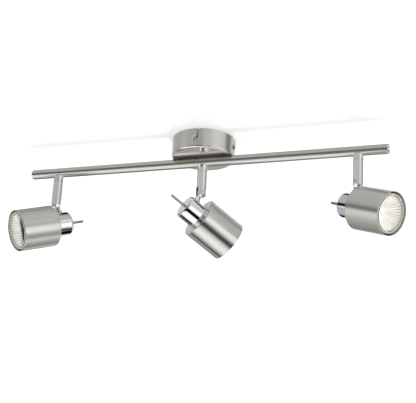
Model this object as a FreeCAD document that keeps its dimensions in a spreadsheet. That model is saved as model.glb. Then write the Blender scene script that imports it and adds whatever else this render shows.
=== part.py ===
# Three-spot ceiling bar light.
# Millimetres. The origin is the centre of the ceiling face, +Z is up into the ceiling, +X runs along the bar.
# Everything hangs below z = 0. The heads are drawn panned and tilted as the light is set up.
import FreeCAD, Part
import Sketcher
import os
import math
from FreeCAD import Vector, Placement, Rotation

doc = FreeCAD.newDocument("bar_spotlight")

# ---------------------------------------------------------------- driving dimensions
sheet = doc.addObject("Spreadsheet::Sheet", "dims")

TABLE = [
    ("canopy_diameter", 84, "outside diameter of the canopy"),
    ("canopy_height", 24.7, "top of the bar below the ceiling"),
    ("canopy_lip", 2.0, "canopy floor below the top of the bar"),
    ("canopy_wall", 1.0, "sheet thickness of the canopy"),
    ("canopy_round", 3.0, "rounding of the canopy's lower edge"),
    ("bayonet_drop", 12.5, "canopy screws below the ceiling"),
    ("bayonet_slot", 3.6, "width of the bayonet slots"),
    ("bayonet_turn", 8, "turn of the bayonet, degrees"),
    ("bracket_span", 79.2, "bracket over its tabs"),
    ("bracket_width", 16, "width of the bracket's straps"),
    ("bracket_gauge", 1.6, "sheet thickness of the bracket"),
    ("bracket_drop", 19, "depth of the turned-down tabs"),
    ("slot_spacing", 50, "spacing of the ceiling screw slots"),
    ("slot_length", 9, "length of a ceiling screw slot"),
    ("slot_width", 4.5, "width of a ceiling screw slot"),
    ("bar_diameter", 13.4, "outside diameter of the bar"),
    ("bar_wall", 1.0, "wall of the bar"),
    ("bar_length", 495, "length of the bar's tube"),
    ("cap_depth", 8, "depth of an end cap's spigot"),
    ("cap_head", 3.0, "thickness of an end cap's head"),
    ("cap_round", 2.6, "rounding of an end cap's head"),
    ("spot_spacing", 210, "spacing of the arms"),
    ("arm_diameter", 13.6, "outside diameter of arms and collars"),
    ("collar_length", 7, "collar below the bar"),
    ("collar_rise", 2.0, "top of a collar above the bar's underside"),
    ("collar_gap", 0.2, "gap between collar and arm"),
    ("arm_end_drop", 79.5, "lower end of the arms below the ceiling"),
    ("arm_top_wall", 2.0, "end wall that turns on the stem"),
    ("arm_bore", 10.8, "bore of the arm"),
    ("arm_bore_drop", 63.5, "bottom of the arm's bore below the ceiling"),
    ("arm_wire_bore", 5.0, "wire hole in the arm"),
    ("arm_chamfer", 0.6, "chamfer at the arm's lower end"),
    ("pivot_drop", 74.5, "tilt axis below the ceiling"),
    ("clevis_width", 5.2, "width of the slot in the arm"),
    ("clevis_top", 5.8, "slot above the tilt axis"),
    ("clevis_wall", 5.1, "slot's closed side from the arm's axis"),
    ("screw_radius", 1.5, "shank of the tilt screw"),
    ("screw_head", 2.7, "head radius of the tilt screw"),
    ("stem_radius", 4.0, "outside radius of stems and nipple"),
    ("stem_bore", 2.8, "bore radius of stems and nipple"),
    ("stem_clear", 0.06, "running clearance on the stem"),
    ("tongue_width", 4.6, "thickness of the knuckle's eye"),
    ("eye_radius", 4.6, "radius of the knuckle's eye"),
    ("eye_clear", 0.06, "running clearance on the tilt screw"),
    ("neck_radius", 3.4, "radius of the knuckle's neck"),
    ("flange_radius", 4.7, "radius of the knuckle's flange"),
    ("flange_height", 2.6, "height of the knuckle's flange"),
    ("axis_offset", 32, "tilt axis to the head's axis"),
    ("shade_front", 67.4, "front rim ahead of the knuckle"),
    ("shade_length", 53, "length of the can"),
    ("shade_diameter", 56, "outside diameter of the can"),
    ("shade_wall", 1.0, "wall of the can"),
    ("shade_round", 1.2, "rounding of the can's rear edge"),
    ("shade_hole", 10.2, "radius of the hole in the can's rear wall"),
    ("cup_diameter", 32, "outside diameter of the cup"),
    ("cup_length", 25.7, "length of the cup"),
    ("cup_wall", 1.4, "wall of the cup"),
    ("cup_rear_wall", 1.8, "rear wall of the cup"),
    ("cup_round", 3.2, "rounding of the cup's rear edge"),
    ("handle_radius", 1.8, "radius of the handle pin"),
    ("handle_length", 22, "length of the handle pin"),
    ("lamp_radius", 25.2, "radius of the lamp's rim"),
    ("lamp_recess", 1.4, "lamp's glass behind the can's rim"),
    ("lamp_base_radius", 9.4, "radius of the lamp's base"),
    ("pin_spacing", 10, "spacing of the lamp's contact pins"),
    ("pan_left", 228.2, "heading of the left head, degrees"),
    ("tilt_left", -20.3, "tilt of the left head, degrees"),
    ("pan_centre", 48.6, "heading of the centre head, degrees"),
    ("tilt_centre", -26.3, "tilt of the centre head, degrees"),
    ("pan_right", -25.3, "heading of the right head, degrees"),
    ("tilt_right", -20.2, "tilt of the right head, degrees"),
]


class Dim:
    """A size with its value and the sheet expression that gives it."""

    def __init__(self, value, text):
        self.value = float(value)
        self.text = text

    def __add__(self, other):
        other = dim(other)
        return Dim(self.value + other.value, "(%s + %s)" % (self.text, other.text))

    def __radd__(self, other):
        return dim(other) + self

    def __sub__(self, other):
        other = dim(other)
        return Dim(self.value - other.value, "(%s - %s)" % (self.text, other.text))

    def __rsub__(self, other):
        return dim(other) - self

    def __mul__(self, other):
        other = dim(other)
        return Dim(self.value * other.value, "(%s * %s)" % (self.text, other.text))

    def __rmul__(self, other):
        return dim(other) * self

    def __truediv__(self, other):
        other = dim(other)
        return Dim(self.value / other.value, "(%s / %s)" % (self.text, other.text))

    def __neg__(self):
        return Dim(-self.value, "(0 - %s)" % self.text)


def dim(x):
    return x if isinstance(x, Dim) else Dim(x, "(%.6f)" % float(x) if float(x) < 0 else "%.6f" % float(x))


D = {}
for row, (alias, value, note) in enumerate(TABLE, 1):
    sheet.set("A%d" % row, note)
    sheet.set("B%d" % row, str(value))
    sheet.setAlias("B%d" % row, alias)
    D[alias] = Dim(value, "dims." + alias)
doc.recompute()


# ---------------------------------------------------------------- helpers
def bind(obj, prop, size):
    """Bind a property to the sheet, or set it when it is a plain number."""
    if isinstance(size, Dim):
        obj.setExpression(prop, size.text)


AXES = {
    "z": Rotation(),
    "x": Rotation(Vector(0, 1, 0), 90),
    "-x": Rotation(Vector(0, 1, 0), -90),
    "y": Rotation(Vector(1, 0, 0), -90),
    "-y": Rotation(Vector(1, 0, 0), 90),
    "-z": Rotation(Vector(1, 0, 0), 180),
}


def put(obj, at, rotation):
    """Place an object at sizes bound to the sheet."""
    values = [dim(a).value for a in at]
    obj.Placement = Placement(Vector(*values), rotation)
    for letter, a in zip("xyz", at):
        if isinstance(a, Dim):
            obj.setExpression("Placement.Base." + letter, a.text)
    return obj


def cyl(name, radius, height, at=(0, 0, 0), axis="z"):
    o = doc.addObject("Part::Cylinder", name)
    o.Radius = dim(radius).value
    o.Height = dim(height).value
    bind(o, "Radius", radius)
    bind(o, "Height", height)
    return put(o, at, AXES[axis])


def cone(name, radius_a, radius_b, height, at=(0, 0, 0), axis="z"):
    o = doc.addObject("Part::Cone", name)
    o.Radius1 = dim(radius_a).value
    o.Radius2 = dim(radius_b).value
    o.Height = dim(height).value
    bind(o, "Radius1", radius_a)
    bind(o, "Radius2", radius_b)
    bind(o, "Height", height)
    return put(o, at, AXES[axis])


def box(name, size, at):
    """A box from its lowest corner."""
    o = doc.addObject("Part::Box", name)
    for prop, s in zip(("Length", "Width", "Height"), size):
        setattr(o, prop, dim(s).value)
        bind(o, prop, s)
    return put(o, at, Rotation())


def prism(name, sides, radius, height, at=(0, 0, 0), axis="z"):
    o = doc.addObject("Part::Prism", name)
    o.Polygon = sides
    o.Circumradius = dim(radius).value
    o.Height = dim(height).value
    bind(o, "Circumradius", radius)
    bind(o, "Height", height)
    return put(o, at, AXES[axis])


def fuse(name, shapes):
    o = doc.addObject("Part::MultiFuse", name)
    o.Shapes = shapes
    o.Refine = True
    return o


def cut(name, base, tools):
    tool = tools[0] if len(tools) == 1 else fuse(name + "_tools", tools)
    o = doc.addObject("Part::Cut", name)
    o.Base = base
    o.Tool = tool
    o.Refine = True
    return o


def common(name, a, b):
    o = doc.addObject("Part::Common", name)
    o.Base = a
    o.Tool = b
    return o


def compound(name, links):
    o = doc.addObject("Part::Compound", name)
    o.Links = links
    return o


def origin_plane(body, role):
    for feature in body.Origin.OriginFeatures:
        if feature.Role == role:
            return feature
    raise RuntimeError("no plane " + role)


def revolve(name, points):
    """A turned piece: a closed profile of (radius, height) points, turned about Z in a PartDesign body."""
    body = doc.addObject("PartDesign::Body", name)
    sketch = body.newObject("Sketcher::SketchObject", name + "_profile")
    sketch.AttachmentSupport = [(origin_plane(body, "XZ_Plane"), "")]
    sketch.MapMode = "FlatFace"
    pts = [(dim(r), dim(h)) for r, h in points]
    n = len(pts)
    for i in range(n):
        a, b = pts[i], pts[(i + 1) % n]
        sketch.addGeometry(
            Part.LineSegment(Vector(a[0].value, a[1].value, 0), Vector(b[0].value, b[1].value, 0)), False
        )
    for i in range(n):
        sketch.addConstraint(Sketcher.Constraint("Coincident", i, 2, (i + 1) % n, 1))
    for i, (r, h) in enumerate(pts):
        if abs(r.value) < 1e-9:
            sketch.addConstraint(Sketcher.Constraint("PointOnObject", i, 1, -2))
        else:
            k = sketch.addConstraint(Sketcher.Constraint("DistanceX", -1, 1, i, 1, r.value))
            sketch.renameConstraint(k, "radius_%d" % i)
            sketch.setExpression("Constraints.radius_%d" % i, r.text)
        if abs(h.value) < 1e-9:
            sketch.addConstraint(Sketcher.Constraint("PointOnObject", i, 1, -1))
        else:
            k = sketch.addConstraint(Sketcher.Constraint("DistanceY", -1, 1, i, 1, h.value))
            sketch.renameConstraint(k, "height_%d" % i)
            sketch.setExpression("Constraints.height_%d" % i, h.text)
    turned = body.newObject("PartDesign::Revolution", name + "_turned")
    turned.Profile = sketch
    turned.ReferenceAxis = (sketch, ["V_Axis"])
    turned.Angle = 360
    body.Tip = turned
    return body


def round_edge(body, radius_at, height_at, size, kind="Fillet"):
    """Fillet or chamfer the circular edge at one radius and height of a turned body."""
    doc.recompute()
    base = body.Tip
    names = []
    for i, edge in enumerate(base.Shape.Edges, 1):
        curve = edge.Curve
        if curve.TypeId == "Part::GeomCircle" and abs(curve.Radius - dim(radius_at).value) < 1e-3:
            if abs(curve.Center.z - dim(height_at).value) < 1e-3:
                names.append("Edge%d" % i)
    if not names:
        raise RuntimeError("no edge to round on " + body.Name)
    f = body.newObject("PartDesign::" + kind, body.Name + "_" + kind.lower() + "_%d" % len(body.Group))
    f.Base = (base, names)
    prop = "Radius" if kind == "Fillet" else "Size"
    setattr(f, prop, dim(size).value)
    bind(f, prop, size)
    body.Tip = f
    return body


NODES = []


def node(obj, label, frame=None):
    """Name a finished piece and put it in place."""
    obj.Label = label
    if frame is not None:
        obj.Placement = frame.multiply(obj.Placement)
    NODES.append(obj)
    return obj


# ---------------------------------------------------------------- sizes used in several places
canopy_r = D["canopy_diameter"] / 2
bar_r = D["bar_diameter"] / 2
bar_in = bar_r - D["bar_wall"]
bar_z = -(D["canopy_height"] + bar_r)
arm_r = D["arm_diameter"] / 2
bar_bottom = bar_z - bar_r
collar_bottom = bar_bottom - D["collar_length"]
stem_r = D["stem_radius"]
SPOTS = [("left", -D["spot_spacing"], 1), ("centre", dim(0), 0), ("right", D["spot_spacing"], 1)]

# ---------------------------------------------------------------- canopy cover
# A spun cup, open at the top. Its floor has a pressed saddle along X, in which the bar's top lies, and a hole for the nipple.
floor_z = -(D["canopy_height"] + D["canopy_lip"])
body = revolve(
    "canopy_cup",
    [
        (canopy_r, 0),
        (canopy_r - D["canopy_wall"], 0),
        (canopy_r - D["canopy_wall"], floor_z + D["canopy_wall"]),
        (stem_r + 0.1, floor_z + D["canopy_wall"]),
        (stem_r + 0.1, floor_z),
        (canopy_r, floor_z),
    ],
)
round_edge(body, canopy_r, floor_z, D["canopy_round"])
round_edge(body, canopy_r - D["canopy_wall"], floor_z + D["canopy_wall"], D["canopy_round"] - D["canopy_wall"])
saddle_skin = common(
    "canopy_saddle_skin",
    cyl("canopy_saddle_tube", bar_r + D["canopy_wall"], D["canopy_diameter"], (-canopy_r, 0, bar_z), "x"),
    cyl("canopy_saddle_limit", canopy_r - 0.6 * D["canopy_wall"], D["canopy_lip"] + 4, (0, 0, floor_z + 0.5 * D["canopy_wall"])),
)
body = fuse("canopy_with_saddle", [body, saddle_skin])
# Four L-shaped bayonet slots: down from the rim, then sideways to the screw.
slots = [
    cyl("canopy_saddle_bed", bar_r + 0.02, D["canopy_diameter"] + 20, (-canopy_r - 10, 0, bar_z), "x"),
    cyl("canopy_nipple_hole", stem_r + 0.1, 14, (0, 0, floor_z - 2)),
]
for k in range(4):
    turn = Rotation(Vector(0, 0, 1), 90 * k)
    turn_b = Rotation(Vector(0, 0, 1), 90 * k + D["bayonet_turn"].value)
    leg = box(
        "bayonet_leg_%d" % k,
        (D["bayonet_slot"], 6, D["bayonet_drop"] + 1),
        (0, 0, 0),
    )
    half = D["bayonet_slot"].value / 2
    leg.Placement = Placement(
        turn_b.multVec(Vector(-half, -D["canopy_diameter"].value / 2 - 2, -D["bayonet_drop"].value)), turn_b
    )
    slots.append(leg)
    for which, t in (("a", turn), ("b", turn_b)):
        hole = cyl("bayonet_hole_%d%s" % (k, which), D["bayonet_slot"] / 2, 6)
        hole.Placement = Placement(
            t.multVec(Vector(0, -D["canopy_diameter"].value / 2 + 4, -D["bayonet_drop"].value)),
            t.multiply(AXES["-y"]),
        )
        slots.append(hole)
    mid = Rotation(Vector(0, 0, 1), 90 * k + D["bayonet_turn"].value / 2)
    width = D["canopy_diameter"].value * math.sin(math.radians(D["bayonet_turn"].value / 2))
    run = box("bayonet_run_%d" % k, (width, 6, D["bayonet_slot"]), (0, 0, 0))
    run.Placement = Placement(
        mid.multVec(Vector(-width / 2, -D["canopy_diameter"].value / 2 - 2, -D["bayonet_drop"].value - half)), mid
    )
    slots.append(run)
node(cut("canopy_slotted", body, slots), "canopy_cover")

# ---------------------------------------------------------------- ceiling bracket
# A pressed cross with four turned-down tabs, slots for the ceiling screws and tapped holes for the canopy screws.
span = D["bracket_span"]
width = D["bracket_width"]
gauge = D["bracket_gauge"]
strap_a = box("strap_a", (span, width, gauge), (-span / 2, -width / 2, -gauge))
strap_b = box("strap_b", (width, span, gauge), (-width / 2, -span / 2, -gauge))
tabs = [
    box("tab_east", (gauge, width - 2, D["bracket_drop"]), (span / 2 - gauge, 1 - width / 2, -D["bracket_drop"])),
    box("tab_west", (gauge, width - 2, D["bracket_drop"]), (-span / 2, 1 - width / 2, -D["bracket_drop"])),
    box("tab_north", (width - 2, gauge, D["bracket_drop"]), (1 - width / 2, span / 2 - gauge, -D["bracket_drop"])),
    box("tab_south", (width - 2, gauge, D["bracket_drop"]), (1 - width / 2, -span / 2, -D["bracket_drop"])),
]
holes = []
for side, s in (("e", 1), ("w", -1)):
    at = D["slot_spacing"] / 2 * s
    flat = D["slot_length"] - D["slot_width"]
    holes.append(
        box("ceiling_slot_" + side, (flat, D["slot_width"], 4), (at - flat / 2, -D["slot_width"] / 2, -3))
    )
    holes.append(cyl("ceiling_slot_a" + side, D["slot_width"] / 2, 4, (at - flat / 2, 0, -3)))
    holes.append(cyl("ceiling_slot_b" + side, D["slot_width"] / 2, 4, (at + flat / 2, 0, -3)))
holes.append(cyl("tap_x", 1.62, span + 4, (-span / 2 - 2, 0, -D["bayonet_drop"]), "x"))
holes.append(cyl("tap_y", 1.62, span + 4, (0, -span / 2 - 2, -D["bayonet_drop"]), "y"))
holes.append(cyl("tap_earth", 1.95, 4, (0, -24, -3)))
holes.append(cyl("tap_block", 1.45, 4, (0, 21, -3)))
node(cut("bracket_pressed", fuse("bracket_blank", [strap_a, strap_b] + tabs), holes), "ceiling_bracket")

# ---------------------------------------------------------------- canopy screws
screws = []
for k in range(4):
    shank = cyl("canopy_screw_shank_%d" % k, 1.6, 9, (0, 0, 0))
    head = revolve(
        "canopy_screw_head_%d" % k,
        [(0, 0), (0, -1.9), (2.2, -1.9), (3.3, -1.3), (3.3, 0)],
    )
    slot = box("canopy_screw_slot_%d" % k, (8, 0.8, 1.2), (-4, -0.4, -2.2))
    one = cut("canopy_screw_%d" % k, fuse("canopy_screw_blank_%d" % k, [shank, head]), [slot])
    turn = Rotation(Vector(0, 0, 1), 90 * k)
    one.Placement = Placement(
        turn.multVec(Vector(0, -D["canopy_diameter"].value / 2 - 0.15, -D["bayonet_drop"].value)),
        turn.multiply(AXES["y"]).multiply(Rotation(Vector(0, 0, 1), 35 + 40 * k)),
    )
    screws.append(one)
node(compound("canopy_screw_set", screws), "canopy_screws")

# ---------------------------------------------------------------- nipple between bar and canopy
inside_bar = cyl("inside_bar_a", bar_in - 0.04, 30, (-15, 0, bar_z), "x")
collar = common("nipple_flange", cyl("nipple_flange_blank", 4.9, 3.2, (0, 0, bar_z + bar_in - 3.2)), inside_bar)
tube = cyl(
    "nipple_tube",
    stem_r,
    D["canopy_height"] + D["bar_wall"] + 1.4 - 16.5,
    (0, 0, -D["canopy_height"] - D["bar_wall"] - 1.4),
)
bore = cyl("nipple_bore", D["stem_bore"], 30, (0, 0, -40))
node(cut("nipple_turned", fuse("nipple_blank", [collar, tube]), [bore]), "centre_nipple")

washer_z = D["canopy_wall"] - D["canopy_height"]
node(
    cut("nipple_washer_cut", cyl("nipple_washer_disc", 9.5, 1.2, (0, 0, washer_z)), [cyl("nipple_washer_hole", stem_r + 0.15, 6, (0, 0, washer_z - 2))]),
    "nipple_washer",
)
nut = cut(
    "nipple_nut_cut",
    prism("nipple_nut_hex", 6, 7.5, 4, (0, 0, washer_z + 1.2)),
    [cyl("nipple_nut_hole", stem_r, 8, (0, 0, washer_z))],
)
node(nut, "nipple_nut")

# ---------------------------------------------------------------- terminal block, its screws and the earth screw
block = box("block_body", (26, 13, 12), (-13, 14.5, -gauge - 12))
block_holes = [cyl("block_fix", 1.6, 16, (0, 21, -gauge - 14))]
for k, x in enumerate((-8.5, 0, 8.5)):
    if x:
        block_holes.append(cyl("block_way_%d" % k, 1.7, 20, (x, 11, -gauge - 5), "y"))
        for j, y in enumerate((17.6, 24.4)):
            block_holes.append(cyl("block_screw_hole_%d%d" % (k, j), 1.9, 7, (x, y, -gauge - 13)))
notch = [
    box("block_gap_%d" % k, (1.2, 20, 5), (x - 0.6, 12, -gauge - 14)) for k, x in enumerate((-4.25, 4.25))
]
node(cut("block_moulded", block, block_holes + notch), "terminal_block")
screws = []
for k, x in enumerate((-8.5, 8.5)):
    for j, y in enumerate((17.6, 24.4)):
        screws.append(
            cut(
                "terminal_screw_%d%d" % (k, j),
                cyl("terminal_screw_body_%d%d" % (k, j), 1.6, 3.6, (x, y, -gauge - 11.4)),
                [box("terminal_screw_slot_%d%d" % (k, j), (4, 0.5, 0.8), (x - 2, y - 0.25, -gauge - 11.6))],
            )
        )
screws.append(
    fuse(
        "block_fixing_screw",
        [cyl("block_fix_shank", 1.4, 13.8, (0, 21, -gauge - 12.2)), cyl("block_fix_head", 2.6, 1.6, (0, 21, -gauge - 13.6))],
    )
)
node(compound("terminal_screw_set", screws), "terminal_screws")
earth = cut(
    "earth_screw_cut",
    fuse(
        "earth_screw_blank",
        [cyl("earth_shank", 1.9, 8, (0, -24, -gauge - 6.4)), cyl("earth_head", 3.6, 2.2, (0, -24, -gauge - 8))],
    ),
    [box("earth_slot", (9, 0.9, 1.2), (-4.5, -24.45, -gauge - 8.6))],
)
node(earth, "earth_screw")


# ---------------------------------------------------------------- conductors
def wire(points, radius, bend):
    """A conductor: straight runs joined by tangent arcs."""
    pts = [Vector(*p) for p in points]
    edges = []
    start = pts[0]
    for i in range(1, len(pts) - 1):
        a = (pts[i - 1] - pts[i]).normalize()
        b = (pts[i + 1] - pts[i]).normalize()
        half = math.acos(max(-1.0, min(1.0, a.dot(b)))) / 2
        back = bend / math.tan(half)
        p, q = pts[i] + a * back, pts[i] + b * back
        mid = pts[i] + (a + b).normalize() * (bend / math.sin(half) - bend)
        edges.append(Part.LineSegment(start, p).toShape())
        edges.append(Part.Arc(p, mid, q).toShape())
        start = q
    edges.append(Part.LineSegment(start, pts[-1]).toShape())
    path = Part.Wire(edges)
    first = (pts[1] - pts[0]).normalize()
    ring = Part.Wire([Part.makeCircle(radius, pts[0], first)])
    return path.makePipeShell([ring], True, False), path.Length


wire_r = 0.7
drop = collar_bottom.value - 12
zb = bar_z.value
for label, side in (("live_wires", 1), ("neutral_wires", -1)):
    y = 1.35 * side
    x_block = 8.5 * side
    trunk, a = wire([(x_block, 14.5, -gauge.value - 5), (x_block, 9.0, -gauge.value - 5), (0, y, -gauge.value - 8), (0, y, zb)], wire_r, 2.2)
    pieces = [trunk]
    total = a
    for s in (-1, 1):
        limb, a = wire([(0, y, zb), (s * D["spot_spacing"].value, y, zb), (s * D["spot_spacing"].value, y, drop)], wire_r, 2.6)
        pieces.append(limb)
        total += a
    down, a = wire([(0, y, zb + 1.0), (0, y, drop)], wire_r, 1.0)
    pieces.append(down)
    total += a
    solid = pieces[0].fuse(pieces[1:]).removeSplitter()
    print(label, "volume", round(solid.Volume, 1), "section times length", round(math.pi * wire_r**2 * total, 1))
    feature = doc.addObject("Part::Feature", label + "_run")
    feature.Shape = solid
    node(feature, label)
solid, a = wire(
    [(3.7, -24, -gauge.value - 5), (8.5, -24, -gauge.value - 5), (8.5, -10, -12.0), (8.5, 0, -14.5), (8.5, 0, washer_z.value + 1.2)],
    wire_r,
    2.0,
)
feature = doc.addObject("Part::Feature", "earth_wire_run")
feature.Shape = solid
node(feature, "earth_wire")

# ---------------------------------------------------------------- bar and its end plugs
bar_outer = cyl("bar_outer", bar_r, D["bar_length"], (-D["bar_length"] / 2, 0, bar_z), "x")
bar_cuts = [cyl("bar_inner", bar_in, D["bar_length"] + 4, (-D["bar_length"] / 2 - 2, 0, bar_z), "x")]
bar_cuts.append(cyl("bar_hole_top", stem_r + 0.05, bar_r + 4, (0, 0, bar_z)))
for name, x, s in SPOTS:
    bar_cuts.append(cyl("bar_hole_" + name, stem_r + 0.05, bar_r + 4, (x, 0, bar_z - bar_r - 4)))
node(cut("bar_drilled", bar_outer, bar_cuts), "crossbar_tube")

caps = []
for side, s in (("east", 1), ("west", -1)):
    plug = revolve(
        "end_cap_" + side,
        [
            (0, -D["cap_head"]),
            (bar_r, -D["cap_head"]),
            (bar_r, 0),
            (bar_in, 0),
            (bar_in, D["cap_depth"]),
            (bar_in - 1.2, D["cap_depth"]),
            (bar_in - 1.2, 1.0),
            (0, 1.0),
        ],
    )
    round_edge(plug, bar_r, -D["cap_head"], D["cap_round"])
    plug.Placement = Placement(Vector(s * D["bar_length"].value / 2, 0, bar_z.value), AXES["-x" if s > 0 else "x"])
    caps.append(plug)
node(compound("end_cap_pair", caps), "bar_end_caps")

# ---------------------------------------------------------------- collars, stems, washers and nuts
stems, washers, nuts = [], [], []
for name, x, s in SPOTS:
    collar_top = bar_bottom + D["collar_rise"]
    blank = fuse(
        "collar_blank_" + name,
        [
            cyl("collar_body_" + name, arm_r, collar_top - 0.5 - collar_bottom, (x, 0, collar_bottom)),
            cone("collar_edge_" + name, arm_r, arm_r - 0.5, 0.5, (x, 0, collar_top - 0.5)),
        ],
    )
    saddle = cyl("collar_saddle_" + name, bar_r + 0.03, 40, (x - 20, 0, bar_z), "x")
    bore = cyl("collar_bore_" + name, stem_r + 0.05, 40, (x, 0, collar_bottom - 2))
    node(cut("collar_coped_" + name, blank, [saddle, bore]), "arm_collar_" + name)

    fit = cyl("inside_bar_" + name, bar_in - 0.04, 30, (x - 15, 0, bar_z), "x")
    flange = common("stem_flange_" + name, cyl("stem_flange_blank_" + name, 4.9, 3.2, (x, 0, bar_z - bar_in)), fit)
    top = bar_z - bar_in + 1.4
    bottom = collar_bottom - 6.6
    tube = cyl("stem_tube_" + name, stem_r, top - bottom, (x, 0, bottom))
    stems.append(
        cut(
            "stem_" + name,
            fuse("stem_blank_" + name, [flange, tube]),
            [cyl("stem_bore_" + name, D["stem_bore"], 40, (x, 0, bottom - 5))],
        )
    )
    wall = collar_bottom - D["collar_gap"] - D["arm_top_wall"]
    washers.append(
        cut(
            "spring_washer_" + name,
            cyl("spring_washer_disc_" + name, 5.0, 0.8, (x, 0, wall - 1.0)),
            [cyl("spring_washer_hole_" + name, stem_r + 0.1, 4, (x, 0, wall - 3))],
        )
    )
    nut = cut(
        "stem_nut_" + name,
        cyl("stem_nut_disc_" + name, 5.0, 2.8, (x, 0, wall - 3.8)),
        [
            cyl("stem_nut_hole_" + name, stem_r, 8, (x, 0, wall - 6)),
            box("stem_nut_slot_" + name, (12, 1.4, 1.2), (x - 6, -0.7, wall - 4.0)),
        ],
    )
    nuts.append(nut)
node(compound("stem_set", stems), "swivel_stems")
node(compound("spring_washer_set", washers), "swivel_washers")
node(compound("stem_nut_set", nuts), "swivel_nuts")


# ---------------------------------------------------------------- one swivel arm, drawn with its pan heading along +X
def arm(name, x, frame):
    top = collar_bottom - D["collar_gap"]
    length = D["arm_end_drop"] + top
    turned = revolve(
        "arm_turned_" + name,
        [
            (stem_r + D["stem_clear"], top),
            (arm_r, top),
            (arm_r, -D["arm_end_drop"]),
            (0, -D["arm_end_drop"]),
            (0, -D["arm_bore_drop"]),
            (D["arm_bore"] / 2, -D["arm_bore_drop"]),
            (D["arm_bore"] / 2, top - D["arm_top_wall"]),
            (stem_r + D["stem_clear"], top - D["arm_top_wall"]),
        ],
    )
    round_edge(turned, arm_r, -D["arm_end_drop"], D["arm_chamfer"], "Chamfer")
    pivot = -D["pivot_drop"]
    # The slot is open at the bottom and on the side away from the heading, and closed on the heading's side.
    slot = box(
        "arm_slot_" + name,
        (D["clevis_wall"] + 12, D["clevis_width"], D["clevis_top"] + 10),
        (-12, -D["clevis_width"] / 2, pivot - 10),
    )
    tools = [
        slot,
        cyl("arm_wire_bore_" + name, D["arm_wire_bore"] / 2, 16, (0, 0, pivot + D["clevis_top"] - 2)),
        cyl("arm_screw_hole_" + name, D["screw_radius"] + 0.02, 20, (0, -10, pivot), "y"),
        cyl("arm_screw_sink_" + name, D["screw_head"] + 0.2, 5, (0, -9.9, pivot), "y"),
    ]
    node(cut("arm_" + name, turned, tools), "arm_tube_" + name, frame)
    shank = cyl("pivot_shank_" + name, D["screw_radius"], 4.9 + 6.3, (0, -4.9, pivot), "y")
    head = cyl("pivot_head_" + name, D["screw_head"], 1.5, (0, -6.4, pivot), "y")
    drive = prism("pivot_drive_" + name, 6, 1.3, 0.9, (0, -6.5, pivot), "y")
    node(cut("pivot_" + name, fuse("pivot_blank_" + name, [shank, head]), [drive]), "pivot_screw_" + name, frame)


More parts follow.
